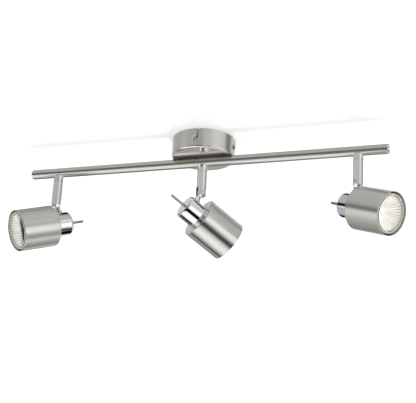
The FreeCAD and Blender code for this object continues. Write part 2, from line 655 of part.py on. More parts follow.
# ---------------------------------------------------------------- one head, drawn about its own axis
# Local +Z points out of the lamp, local +X points from the head's axis to the tilt axis, local Y is the tilt axis.
def head(name, frame):
    offset = D["axis_offset"]
    cup_r = D["cup_diameter"] / 2
    cup_in = cup_r - D["cup_wall"]
    rear = D["shade_front"] - D["shade_length"]
    cup_rear = rear - D["cup_length"]
    front = D["shade_front"]
    shade_r = D["shade_diameter"] / 2

    # knuckle: flat eye, round neck, flange with a saddle on the cup, hollow threaded stud
    tongue_w = D["tongue_width"]
    eye = cyl("eye_" + name, D["eye_radius"], tongue_w, (offset, -tongue_w / 2, 0), "y")
    tongue = box("tongue_" + name, (9.6, tongue_w, 5.8), (offset - 9.6, -tongue_w / 2, -2.9))
    neck = cyl("neck_" + name, D["neck_radius"], offset - 8.6 - cup_r, (cup_r, 0, 0), "x")
    taper = cone("neck_taper_" + name, D["neck_radius"], 2.3, 1.6, (offset - 8.6, 0, 0), "x")
    flange = cyl("flange_" + name, D["flange_radius"], D["flange_height"] + 2, (cup_r - 2, 0, 0), "x")
    stud = cyl("stud_" + name, 2.5, 6, (cup_in - 3.4, 0, 0), "x")
    saddle = cut(
        "flange_saddle_" + name,
        fuse("flange_blank_" + name, [flange, neck]),
        [cyl("cup_shape_" + name, cup_r + 0.02, 30, (0, 0, -15))],
    )
    groove = cut(
        "wire_groove_" + name,
        cyl("wire_groove_disc_" + name, 6.0, 3.0, (offset, -1.5, 0), "y"),
        [
            cyl("wire_groove_hub_" + name, 3.0, 6, (offset, -3, 0), "y"),
            box("wire_groove_keep_" + name, (20, 10, 20), (offset - 10, -5, 0)),
        ],
    )
    knuckle = cut(
        "knuckle_cut_" + name,
        fuse("knuckle_blank_" + name, [eye, tongue, taper, saddle, stud]),
        [
            cyl("knuckle_hole_" + name, D["screw_radius"] + D["eye_clear"], 12, (offset, -6, 0), "y"),
            cyl("knuckle_wire_" + name, 1.15, 14.5, (cup_in - 4, 0, -1.0), "x"),
            groove,
        ],
    )
    node(knuckle, "knuckle_" + name, frame)
    nut = cut(
        "knuckle_nut_cut_" + name,
        prism("knuckle_nut_hex_" + name, 6, 4.0, 2.6, (cup_in - 3.3, 0, 0), "x"),
        [cyl("knuckle_nut_hole_" + name, 2.5, 6, (cup_in - 5, 0, 0), "x")],
    )
    node(nut, "knuckle_nut_" + name, frame)

    # chrome cup: deep round cup, rounded at the rear, with two lugs for the can and two bosses for the lampholder
    cup = revolve(
        "cup_turned_" + name,
        [
            (0, cup_rear),
            (cup_r, cup_rear),
            (cup_r, rear),
            (cup_in, rear),
            (cup_in, cup_rear + D["cup_rear_wall"]),
            (0, cup_rear + D["cup_rear_wall"]),
        ],
    )
    round_edge(cup, cup_r, cup_rear, D["cup_round"])
    round_edge(cup, cup_in, cup_rear + D["cup_rear_wall"], 1.6)
    lugs = [cyl("cup_lug_%d%s" % (k, name), 2.4, 8, (12.6 * k, 0, rear - 8)) for k in (-1, 1)]
    bosses = [
        cyl("cup_boss_%d%s" % (k, name), 2.7, rear - 12 - cup_rear - 1, (0, 8.1 * k, cup_rear + 1)) for k in (-1, 1)
    ]
    trim = common("cup_lugs_" + name, fuse("cup_lug_pair_" + name, lugs), cyl("cup_lug_limit_" + name, cup_in + 0.4, 30, (0, 0, cup_rear + 1)))
    tools = [
        cyl("cup_stud_hole_" + name, 2.55, 12, (cup_in - 6, 0, 0), "x"),
        cyl("cup_pin_hole_" + name, 1.3, 6, (0, 0, cup_rear - 1)),
        cyl("cup_lug_tap_a" + name, 1.25, 7, (12.6, 0, rear - 6.5)),
        cyl("cup_lug_tap_b" + name, 1.25, 7, (-12.6, 0, rear - 6.5)),
        cyl("cup_boss_tap_a" + name, 1.2, 7, (0, 8.1, rear - 18.5)),
        cyl("cup_boss_tap_b" + name, 1.2, 7, (0, -8.1, rear - 18.5)),
    ]
    node(cut("cup_" + name, fuse("cup_blank_" + name, [cup, trim] + bosses), tools), "holder_cup_" + name, frame)

    # handle pin: rounded tip, threaded root through the cup's rear wall
    pin = revolve(
        "pin_turned_" + name,
        [
            (0, cup_rear - D["handle_length"]),
            (D["handle_radius"], cup_rear - D["handle_length"]),
            (D["handle_radius"], cup_rear),
            (1.25, cup_rear),
            (1.25, cup_rear + 3.4),
            (0, cup_rear + 3.4),
        ],
    )
    round_edge(pin, D["handle_radius"], cup_rear - D["handle_length"], 0.8)
    node(pin, "handle_pin_" + name, frame)

    # can: drawn tube with a flat rear wall
    can = revolve(
        "can_turned_" + name,
        [
            (D["shade_hole"], rear),
            (shade_r, rear),
            (shade_r, front),
            (shade_r - D["shade_wall"], front),
            (shade_r - D["shade_wall"], rear + 1.2),
            (D["shade_hole"], rear + 1.2),
        ],
    )
    round_edge(can, shade_r, rear, D["shade_round"])
    tools = [cyl("can_hole_%d%s" % (k, name), 1.4, 6, (12.6 * k, 0, rear - 2)) for k in (-1, 1)]
    node(cut("can_" + name, can, tools), "shade_" + name, frame)

    # screws: two through the can into the lugs, two through the lampholder into the bosses
    screws = []
    for k in (-1, 1):
        screws.append(
            fuse(
                "can_screw_%d%s" % (k, name),
                [
                    cyl("can_screw_shank_%d%s" % (k, name), 1.23, 7.2, (12.6 * k, 0, rear - 5.6)),
                    cyl("can_screw_head_%d%s" % (k, name), 2.1, 1.4, (12.6 * k, 0, rear + 1.2)),
                ],
            )
        )
        screws.append(
            fuse(
                "holder_screw_%d%s" % (k, name),
                [
                    cyl("holder_screw_shank_%d%s" % (k, name), 1.18, 15.5, (0, 8.1 * k, rear - 17.6)),
                    cyl("holder_screw_head_%d%s" % (k, name), 2.1, 1.4, (0, 8.1 * k, rear - 2.4)),
                ],
            )
        )
    node(compound("screw_set_" + name, screws), "holder_screws_" + name, frame)

    # ceramic lampholder: round block with two flats, two contact wells and two sunk screw holes
    blank = common(
        "holder_flats_" + name,
        cyl("holder_disc_" + name, 11, 11.8, (0, 0, rear - 12)),
        box("holder_flat_box_" + name, (18.4, 30, 20), (-9.2, -15, rear - 15)),
    )
    tools = []
    for k in (-1, 1):
        tools.append(cyl("holder_well_%d%s" % (k, name), 2.8, 10, (D["pin_spacing"] / 2 * k, 0, rear - 8)))
        tools.append(cyl("holder_hole_%d%s" % (k, name), 1.3, 20, (0, 8.1 * k, rear - 14)))
        tools.append(cyl("holder_sink_%d%s" % (k, name), 2.3, 6, (0, 8.1 * k, rear - 2.4)))
    node(cut("holder_" + name, blank, tools), "lampholder_" + name, frame)

    # lamp: ceramic base with two stepped pins, reflector dish, front glass, capsule
    glass = front - D["lamp_recess"]
    base_r = D["lamp_base_radius"]
    base = revolve(
        "base_turned_" + name,
        [
            (0, rear),
            (base_r - 0.6, rear),
            (base_r, rear + 0.6),
            (base_r, rear + 11),
            (base_r + 1.1, rear + 13),
            (base_r + 1.1, rear + 15.8),
            (4.4, rear + 15.8),
            (4.4, rear + 13.5),
            (0, rear + 13.5),
        ],
    )
    pins = []
    for k in (-1, 1):
        pins.append(cyl("lamp_pin_%d%s" % (k, name), 1.5, 7, (D["pin_spacing"] / 2 * k, 0, rear - 6.2)))
        pins.append(cyl("lamp_pin_foot_%d%s" % (k, name), 2.5, 2.6, (D["pin_spacing"] / 2 * k, 0, rear - 7.0)))
    node(fuse("base_" + name, [base] + pins), "lamp_base_" + name, frame)

    rim = D["lamp_radius"]
    curve = [(11.6, 15.8), (13.6, 20), (16.4, 25), (18.9, 30), (21.1, 35), (23.0, 40), (24.4, 44)]
    outer = [(dim(r), rear + h) for r, h in curve]
    inner = [(dim(r - 1.5), rear + h + 0.4) for r, h in reversed(curve)]
    dish = revolve(
        "dish_turned_" + name,
        [(4.6, rear + 15.8)] + outer + [(rim, rear + 46), (rim, glass), (rim - 1.6, glass), (rim - 1.6, rear + 46.6)] + inner + [(6.6, rear + 17.6), (4.6, rear + 17.6)],
    )
    node(dish, "lamp_reflector_" + name, frame)
    pane = revolve(
        "pane_turned_" + name,
        [
            (0, glass - 1.9),
            (rim - 1.65, glass - 1.9),
            (rim - 1.65, glass - 0.3),
            (rim - 2.2, glass - 0.1),
            (0, glass + 0.3),
        ],
    )
    node(pane, "lamp_glass_" + name, frame)
    bulb = revolve(
        "bulb_turned_" + name,
        [
            (0, rear + 13.5),
            (3.6, rear + 13.5),
            (3.6, rear + 18),
            (4.2, rear + 20),
            (4.4, rear + 27),
            (3.8, rear + 30.5),
            (2.2, rear + 33),
            (0.8, rear + 34.4),
            (0, rear + 34.6),
        ],
    )
    node(bulb, "lamp_capsule_" + name, frame)


for name, x, s in SPOTS:
    pan = math.radians(D["pan_" + name].value)
    tilt = math.radians(D["tilt_" + name].value)
    d = Vector(math.cos(tilt) * math.cos(pan), math.cos(tilt) * math.sin(pan), math.sin(tilt))
    n = Vector(-math.sin(tilt) * math.cos(pan), -math.sin(tilt) * math.sin(pan), math.cos(tilt))
    w = d.cross(n)
    pivot = Vector(x.value, 0, -D["pivot_drop"].value)
    foot = pivot - n * D["axis_offset"].value
    arm(name, x, Placement(Vector(x.value, 0, 0), Rotation(Vector(0, 0, 1), D["pan_" + name].value)))
    matrix = FreeCAD.Matrix(n.x, w.x, d.x, foot.x, n.y, w.y, d.y, foot.y, n.z, w.z, d.z, foot.z, 0, 0, 0, 1)
    head(name, Placement(matrix))

# ---------------------------------------------------------------- check and write
doc.recompute()
for obj in doc.Objects:
    if "Invalid" in obj.State or "Error" in obj.State:
        raise RuntimeError("%s (%s) failed: %s" % (obj.Name, obj.Label, obj.State))

os.makedirs("parts", exist_ok=True)
if len(NODES) > 60:
    raise RuntimeError("%d nodes" % len(NODES))
for obj in NODES:
    shape = obj.Shape
    if shape.isNull() or not shape.isValid():
        raise RuntimeError(obj.Label + " has no valid shape")
    if not shape.Solids:
        raise RuntimeError(obj.Label + " holds no solid")
for obj in NODES:
    obj.Shape.exportStep("parts/%s.step" % obj.Label)
    b = obj.Shape.BoundBox
    print(
        "%-24s solids %d  volume %9.1f  x %7.1f..%7.1f  y %6.1f..%6.1f  z %6.1f..%6.1f"
        % (obj.Label, len(obj.Shape.Solids), obj.Shape.Volume, b.XMin, b.XMax, b.YMin, b.YMax, b.ZMin, b.ZMax)
    )
print(len(NODES), "nodes")
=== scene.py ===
import math

import bmesh
import bpy
from mathutils import Matrix, Vector


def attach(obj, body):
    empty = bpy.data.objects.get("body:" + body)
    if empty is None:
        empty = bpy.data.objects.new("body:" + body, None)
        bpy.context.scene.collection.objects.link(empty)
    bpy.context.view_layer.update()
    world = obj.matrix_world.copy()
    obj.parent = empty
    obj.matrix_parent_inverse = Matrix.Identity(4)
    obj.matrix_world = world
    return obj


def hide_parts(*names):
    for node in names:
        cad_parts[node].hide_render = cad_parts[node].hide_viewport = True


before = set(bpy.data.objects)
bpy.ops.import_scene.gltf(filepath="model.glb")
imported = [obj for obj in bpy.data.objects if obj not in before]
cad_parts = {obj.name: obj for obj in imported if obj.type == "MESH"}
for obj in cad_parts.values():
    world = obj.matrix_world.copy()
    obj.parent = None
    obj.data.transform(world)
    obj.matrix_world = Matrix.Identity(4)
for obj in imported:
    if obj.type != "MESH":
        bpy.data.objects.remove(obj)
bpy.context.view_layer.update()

MM = 0.001
SCENE = bpy.context.scene

# ---------------------------------------------------------------- camera

CAM_AT = Vector((503.5726, -1421.7557, -651.334)) * MM
YAW, PITCH, ROLL = math.radians(-19.1318), math.radians(20.5349), math.radians(3.3334)


def camera():
    forward = Vector(
        (math.sin(YAW) * math.cos(PITCH), math.cos(YAW) * math.cos(PITCH), math.sin(PITCH))
    )
    right = Vector((math.cos(YAW), -math.sin(YAW), 0.0))
    up = right.cross(forward)
    side = right * math.cos(ROLL) + up * math.sin(ROLL)
    top = up * math.cos(ROLL) - right * math.sin(ROLL)
    m = Matrix.Identity(4)
    for i in range(3):
        m[i][0], m[i][1], m[i][2], m[i][3] = side[i], top[i], -forward[i], CAM_AT[i]
    data = bpy.data.cameras.new("camera")
    data.sensor_width = 36.0
    data.lens = 1220.9798 * 36.0 / 416.0
    data.clip_start, data.clip_end = 0.01, 60.0
    cam = bpy.data.objects.new("camera", data)
    SCENE.collection.objects.link(cam)
    cam.matrix_world = m
    SCENE.camera = cam


camera()

# ---------------------------------------------------------------- node helpers


class Nodes:
    """A small wrapper that adds nodes to a tree and links them."""

    def __init__(self, tree):
        self.t = tree
        tree.nodes.clear()

    def add(self, kind, props=None, **inputs):
        n = self.t.nodes.new("ShaderNode" + kind)
        for k, v in (props or {}).items():
            setattr(n, k, v)
        for k, v in inputs.items():
            self.put(n, k, v)
        return n

    def put(self, n, key, v):
        key = int(key[1:]) if key[0] == "i" and key[1:].isdigit() else key.replace("_", " ")
        s = n.inputs[key]
        if isinstance(v, bpy.types.NodeSocket):
            self.t.links.new(v, s)
        else:
            s.default_value = v
        return s

    def math(self, op, a, b=0.0, c=None, clamp=False):
        n = self.add("Math", {"operation": op, "use_clamp": clamp}, i0=a, i1=b)
        if c is not None:
            self.put(n, "i2", c)
        return n.outputs[0]

    def remap(self, v, a, b, c, d, kind="LINEAR"):
        n = self.add("MapRange", {"interpolation_type": kind}, Value=v)
        for k, x in zip(("From Min", "From Max", "To Min", "To Max"), (a, b, c, d)):
            n.inputs[k].default_value = x
        return n.outputs["Result"]

    def mix(self, fac, a, b):
        n = self.add("Mix", {"data_type": "RGBA"})
        n.inputs[0].default_value = 0.5
        for i, v in ((0, fac), (6, a), (7, b)):
            if isinstance(v, bpy.types.NodeSocket):
                self.t.links.new(v, n.inputs[i])
            else:
                n.inputs[i].default_value = v
        return n.outputs[2]

    def noise(self, vec, scale, detail=2.0, rough=0.5):
        return self.add(
            "TexNoise", None, Vector=vec, Scale=scale, Detail=detail, Roughness=rough
        ).outputs["Fac"]

    def stretch(self, vec, s):
        return self.add("Mapping", {"vector_type": "POINT"}, Vector=vec, Scale=s).outputs[0]

    def ramp(self, fac, stops, interpolation="LINEAR"):
        n = self.add("ValToRGB", None, Fac=fac)
        r = n.color_ramp
        r.interpolation = interpolation
        while len(r.elements) > 1:
            r.elements.remove(r.elements[-1])
        for i, (p, c) in enumerate(stops):
            e = r.elements[0] if i == 0 else r.elements.new(p)
            e.position = p
            e.color = (*c, 1.0) if len(c) == 3 else c
        return n.outputs["Color"]


def material(name):
    m = bpy.data.materials.new(name)
    m.use_nodes = True
    n = Nodes(m.node_tree)
    out = n.add("OutputMaterial")
    p = n.add("BsdfPrincipled")
    n.t.links.new(p.outputs[0], out.inputs["Surface"])
    return m, n, p


# ---------------------------------------------------------------- studio


HEIGHTS = [-90, -66, -50, -40, -30, -20, -10, 0, 10, 22, 40, 90]
# These levels come from a least-squares fit to surface tones read off the reference photograph,
# averaged onto fewer heights, rounded to quarters and partly changed.
STUDIO = [
    # heading of each side of the studio, and how bright its panels and black cards are from the floor up
    (0, [1.25, 0.75, 0.5, 0, 0, 0, 0.25, 0.25, 0, 0.5, 0.5, 0.5]),
    (30, [1.25, 1, 0, 0, 0.25, 0.75, 0.75, 0.5, 0.25, 0.5, 0.75, 0.5]),
    (60, [1.25, 0.75, 0, 0, 0.5, 1.25, 1.25, 1, 0.5, 0.75, 0.5, 0.5]),
    (90, [1.25, 1, 0.25, 0, 0.5, 1, 1.25, 1, 0.75, 0.5, 0.75, 0.5]),
    (120, [1.25, 1.25, 1, 0.25, 0.75, 0.75, 0.5, 0, 0, 0.25, 0.25, 0.5]),
    (150, [1.25, 1, 0.5, 0, 0.5, 0.75, 0.75, 0.25, 0.25, 0.75, 0.5, 0.5]),
    (180, [1.25, 0.75, 0.5, 0, 0.25, 0.75, 1.25, 0.75, 0.25, 0.75, 0.75, 0.25]),
    (-150, [1.25, 0.5, 0, 0, 0.5, 0.25, 0.25, 0.25, 1.25, 0.75, 0.25, 0.25]),
    (-120, [1.25, 0.75, 0.25, 0, 0.5, 0.5, 0.5, 0.5, 0.25, 0.5, 0.75, 0.5]),
    (-90, [1.25, 1, 0.5, 0.25, 0.5, 0.5, 0.25, 0.5, 0, 0.5, 0.5, 0.5]),
    (-60, [1.25, 1, 1.25, 1.25, 1.5, 1.25, 1.25, 0.25, 0.25, 0.5, 0.5, 0.5]),
    (-30, [1.25, 1, 1.25, 0.75, 0.75, 0.25, 0, 0, 0.25, 0.5, 0.5, 0.5]),
]


def sky():
    """White seen directly, even soft light for matt surfaces, and a studio of bright panels and black cards for the mirrors."""
    w = bpy.data.worlds.new("studio")
    SCENE.world = w
    w.use_nodes = True
    w.cycles.sampling_method = "NONE"
    n = Nodes(w.node_tree)
    d = n.add("TexCoord").outputs["Generated"]
    xyz = n.add("SeparateXYZ", None, Vector=n.add("VectorMath", {"operation": "NORMALIZE"}, i0=d).outputs[0])
    x, y, z = xyz.outputs
    t = n.remap(n.math("ARCSINE", z), -math.pi / 2, math.pi / 2, 0.0, 1.0)
    flat = n.math("MAXIMUM", n.math("SQRT", n.math("ADD", n.math("MULTIPLY", x, x), n.math("MULTIPLY", y, y))), 0.001)
    hx, hy = n.math("DIVIDE", x, flat), n.math("DIVIDE", y, flat)

    GAIN = 1.6

    def tint(v):
        # warm greys, neutral lights, slightly olive darks
        if v > 0.85:
            return (1.0, 1.0, 1.0)
        if v > 0.3:
            k = (v - 0.3) / 0.55
            return (1.005, 0.992 + 0.008 * k, 0.955 + 0.045 * k)
        return (1.0, 0.995, 0.93)

    total, weight = None, None
    for heading, levels in STUDIO:
        r = math.radians(heading)
        dot = n.math("ADD", n.math("MULTIPLY", hx, math.sin(r)), n.math("MULTIPLY", hy, -math.cos(r)))
        share = n.math("ADD", n.math("POWER", n.math("MAXIMUM", dot, 0.0), 34.0), 0.00002)
        stops = [((e + 90) / 180, tuple(v * k / GAIN for k in tint(v))) for e, v in zip(HEIGHTS, levels)]
        part = n.add("VectorMath", {"operation": "SCALE"}, i0=n.ramp(t, stops), Scale=share).outputs[0]
        total = part if total is None else n.add("VectorMath", {"operation": "ADD"}, i0=total, i1=part).outputs[0]
        weight = share if weight is None else n.math("ADD", weight, share)
    c = n.add("VectorMath", {"operation": "SCALE"}, i0=total, Scale=n.math("DIVIDE", 1.0, weight)).outputs[0]
    mirrored = n.add("Background", None, Color=c, Strength=GAIN)
    # a true mirror sees the same panels and cards with hard edges
    level = n.add("RGBToBW", None, Color=c).outputs[0]
    hard = n.ramp(level, [(0.0, (0.0, 0.0, 0.0)), (0.20, (0.010, 0.010, 0.011)), (0.30, (0.26, 0.26, 0.265)), (0.42, (0.46, 0.46, 0.465)), (0.60, (0.66, 0.66, 0.665))])
    crisp = n.add("Background", None, Color=hard, Strength=GAIN)
    matt = n.add("Background", None, Color=(1.0, 0.995, 0.985, 1.0), Strength=1.12)
    seen = n.add("Background", None, Color=(1.0, 1.0, 1.0, 1.0), Strength=1.1)
    path = n.add("LightPath")
    sharp = n.add("MixShader", None, i0=path.outputs["Is Singular Ray"], i1=mirrored.outputs[0], i2=crisp.outputs[0])
    a = n.add("MixShader", None, i0=path.outputs["Is Diffuse Ray"], i1=sharp.outputs[0], i2=matt.outputs[0])
    b = n.add("MixShader", None, i0=path.outputs["Is Camera Ray"], i1=a.outputs[0], i2=seen.outputs[0])
    out = n.add("OutputWorld")
    n.t.links.new(b.outputs[0], out.inputs["Surface"])


def plane(name, half, z):
    me = bpy.data.meshes.new(name)
    me.from_pydata([(-half, -half, z), (half, -half, z), (half, half, z), (-half, half, z)], [], [(0, 3, 2, 1)])
    o = bpy.data.objects.new(name, me)
    SCENE.collection.objects.link(o)
    o.visible_diffuse = o.visible_glossy = o.visible_transmission = o.visible_shadow = False
    o.visible_volume_scatter = False
    return o


def room():
    """The ceiling that the light hangs from, seen from below only, and a pale floor far under it."""
    m = bpy.data.materials.new("ceiling_paint")
    m.use_nodes = True
    n = Nodes(m.node_tree)
    v = n.add("TexCoord").outputs["Object"]
    grain = n.noise(v, 260.0, 3.0)
    tone = n.mix(grain, (0.89, 0.89, 0.885, 1.0), (0.90, 0.90, 0.90, 1.0))
    paint = n.add("AddShader", None, i0=n.add("BsdfDiffuse", None, Color=tone).outputs[0], i1=n.add("Emission", None, Strength=0.10).outputs[0])
    clear = n.add("BsdfTransparent")
    mixed = n.add("MixShader", None, i0=n.add("NewGeometry").outputs["Backfacing"], i1=paint.outputs[0], i2=clear.outputs[0])
    out = n.add("OutputMaterial")
    n.t.links.new(mixed.outputs[0], out.inputs["Surface"])
    c = plane("ceiling", 6.0, 0.00025)
    c.data.materials.append(m)

    sun = bpy.data.lights.new("ceiling_wash", "SUN")
    sun.angle = math.radians(10.0)
    sun.energy = 0.9
    o = bpy.data.objects.new("ceiling_wash", sun)
    o.rotation_euler = Vector((0.0, 0.65, -0.76)).to_track_quat("Z", "Y").to_euler()
    o.visible_glossy = o.visible_transmission = False
    SCENE.collection.objects.link(o)

    m, n, p = material("floor_paint")
    v = n.add("TexCoord").outputs["Object"]
    g = n.noise(v, 3.0, 4.0)
    n.put(p, "Base Color", n.mix(g, (0.84, 0.84, 0.83, 1.0), (0.87, 0.87, 0.86, 1.0)))
    p.inputs["Roughness"].default_value = 0.9
    p.inputs["Specular IOR Level"].default_value = 0.2
    f = plane("floor", 14.0, -2.5)
    f.data.flip_normals()
    f.data.materials.append(m)


sky()
room()
SCENE.view_settings.view_transform = "Standard"
SCENE.view_settings.look = "None"

# ---------------------------------------------------------------- materials

M = {}


def brushed(name, axis, tangent, tone=(0.785, 0.770, 0.730), rough=(0.225, 0.255), aniso=0.97, fine=1900.0):
    """Satin nickel with turned lines. axis is the line across the brushing, 0 X or 2 Z, in the piece's own frame."""
    m, n, p = material(name)
    v = n.add("TexCoord").outputs["Object"]

    def lines(across, along):
        s = [along] * 3
        s[axis] = across
        return n.stretch(v, s)

    hair = n.noise(lines(fine, 9.0), 1.0, 4.0, 0.65)
    band = n.noise(lines(fine * 0.22, 5.0), 1.0, 3.0, 0.6)
    cloud = n.noise(v, 38.0, 3.0, 0.6)
    both = n.math("ADD", n.math("MULTIPLY", hair, 0.6), n.math("MULTIPLY", band, 0.4))
    r = n.remap(both, 0.32, 0.68, rough[0], rough[1])
    n.put(p, "Roughness", n.math("ADD", r, n.remap(cloud, 0.3, 0.7, -0.006, 0.008)))
    dark = tuple(c * 0.965 for c in tone)
    lite = tuple(min(1.0, c * 1.03) for c in tone)
    n.put(p, "Base Color", n.ramp(both, [(0.30, dark), (0.5, tone), (0.72, lite)]))
    p.inputs["Metallic"].default_value = 1.0
    p.inputs["Anisotropic"].default_value = aniso
    if tangent == "uv":
        n.put(p, "Tangent", n.add("Tangent", {"direction_type": "UV_MAP", "uv_map": "turned"}).outputs[0])
    else:
        n.put(p, "Tangent", n.add("Tangent", {"direction_type": "RADIAL", "axis": tangent}).outputs[0])
        p.inputs["Anisotropic Rotation"].default_value = 0.25
    b = n.add("Bump", None, Strength=0.5, Distance=0.0000012, Height=both)
    n.put(p, "Normal", b.outputs[0])
    M[name] = m
    return m, n, p


def plated(name, tone, rough, haze=0.02, wave=0.0000012):
    """Polished plating: a near mirror with faint buffing haze."""
    m, n, p = material(name)
    v = n.add("TexCoord").outputs["Object"]
    wipe = n.noise(v, 120.0, 4.0, 0.6)
    buff = n.noise(n.stretch(v, (220.0, 220.0, 900.0)), 1.0, 3.0, 0.55)
    n.put(p, "Roughness", n.remap(wipe, 0.3, 0.75, rough, rough + haze))
    dim = tuple(c * 0.965 for c in tone)
    n.put(p, "Base Color", n.ramp(wipe, [(0.3, dim), (0.65, tone)]))
    p.inputs["Metallic"].default_value = 1.0
    b = n.add("Bump", None, Strength=0.35, Distance=wave, Height=buff)
    n.put(p, "Normal", b.outputs[0])
    M[name] = m
    return m, n, p


def plain(name, tone, tone2, rough, scale=300.0, metal=0.0, bump=0.00002, coat=0.0):
    m, n, p = material(name)
    v = n.add("TexCoord").outputs["Object"]
    a = n.noise(v, scale, 4.0, 0.6)
    n.put(p, "Base Color", n.ramp(a, [(0.35, tone), (0.65, tone2)]))
    n.put(p, "Roughness", n.remap(a, 0.3, 0.7, rough * 0.85, min(1.0, rough * 1.15)))
    p.inputs["Metallic"].default_value = metal
    if coat:
        p.inputs["Coat Weight"].default_value = coat
        p.inputs["Coat Roughness"].default_value = 0.12
    b = n.add("Bump", None, Strength=0.4, Distance=bump, Height=a)
    n.put(p, "Normal", b.outputs[0])
    M[name] = m
    return m, n, p


brushed("nickel_turned", 2, "uv")
m, n, p = brushed("nickel_canopy", 2, "Z", tone=(0.860, 0.845, 0.800), rough=(0.21, 0.25))
# the floor of the canopy is finer than its wall and mirrors the bar
r = p.inputs["Roughness"].links[0].from_socket
z = n.add("SeparateXYZ", None, Vector=n.add("TexCoord").outputs["Object"]).outputs[2]
n.put(p, "Roughness", n.math("MULTIPLY", r, n.remap(z, -0.0264, -0.0252, 0.40, 1.0)))
# painted shade: the floor is darkened to near-black beside the bar, standing in for the bar's shadow and its dark
# reflection in the floor, with slight random patchiness
y = n.math("ABSOLUTE", n.add("SeparateXYZ", None, Vector=n.add("TexCoord").outputs["Object"]).outputs[1])
painted_shade_by_bar = n.math("MULTIPLY", n.remap(y, 0.0075, 0.0175, 1.0, 0.0, "SMOOTHSTEP"), n.remap(z, -0.0262, -0.0240, 1.0, 0.0))
painted_shade_by_bar = n.math("MULTIPLY", painted_shade_by_bar, n.remap(n.noise(n.add("TexCoord").outputs["Object"], 240.0, 3.0), 0.3, 0.7, 0.72, 0.90))
c = p.inputs["Base Color"].links[0].from_socket
n.put(p, "Base Color", n.mix(painted_shade_by_bar, c, (0.11, 0.10, 0.08, 1.0)))
brushed("nickel_bar", 0, "X", tone=(0.750, 0.736, 0.698), rough=(0.185, 0.215), aniso=0.95)
# the handle pins' chrome is the same plating with its tone darkened to 0.47: painted shade
for name, tone in (("chrome", (0.955, 0.955, 0.965)), ("chrome_pin_painted_shade", (0.47, 0.47, 0.48)), ("screw_polish", (0.90, 0.90, 0.90))):
    m, n, p = plated(name, tone, 0.0)
    for l in list(p.inputs["Roughness"].links):
        n.t.links.remove(l)
    p.inputs["Roughness"].default_value = 0.0
plated("chrome_arm", (0.925, 0.945, 0.955), 0.05, 0.03)
plain("zinc", (0.62, 0.63, 0.64), (0.74, 0.75, 0.76), 0.33, 160.0, 1.0)
plain("plastic_white", (0.78, 0.77, 0.74), (0.84, 0.83, 0.80), 0.38, 700.0)
plain("brass", (0.83, 0.62, 0.30), (0.90, 0.70, 0.38), 0.26, 240.0, 1.0)
plain("wire_brown", (0.13, 0.05, 0.022), (0.18, 0.07, 0.03), 0.40, 900.0)
plain("wire_blue", (0.02, 0.09, 0.30), (0.03, 0.13, 0.38), 0.40, 900.0)
plain("ceramic", (0.80, 0.79, 0.75), (0.88, 0.87, 0.83), 0.30, 420.0, 0.0, 0.00003, 0.5)


def earth_wire():
    m, n, p = material("wire_earth")
    v = n.add("TexCoord").outputs["Object"]
    w = n.add("TexWave", {"wave_type": "BANDS", "bands_direction": "DIAGONAL"}, Vector=v, Scale=120.0, Distortion=0.4)
    n.put(p, "Base Color", n.ramp(w.outputs["Color"], [(0.42, (0.03, 0.26, 0.05)), (0.58, (0.75, 0.68, 0.05))]))
    p.inputs["Roughness"].default_value = 0.42
    M["wire_earth"] = m


earth_wire()


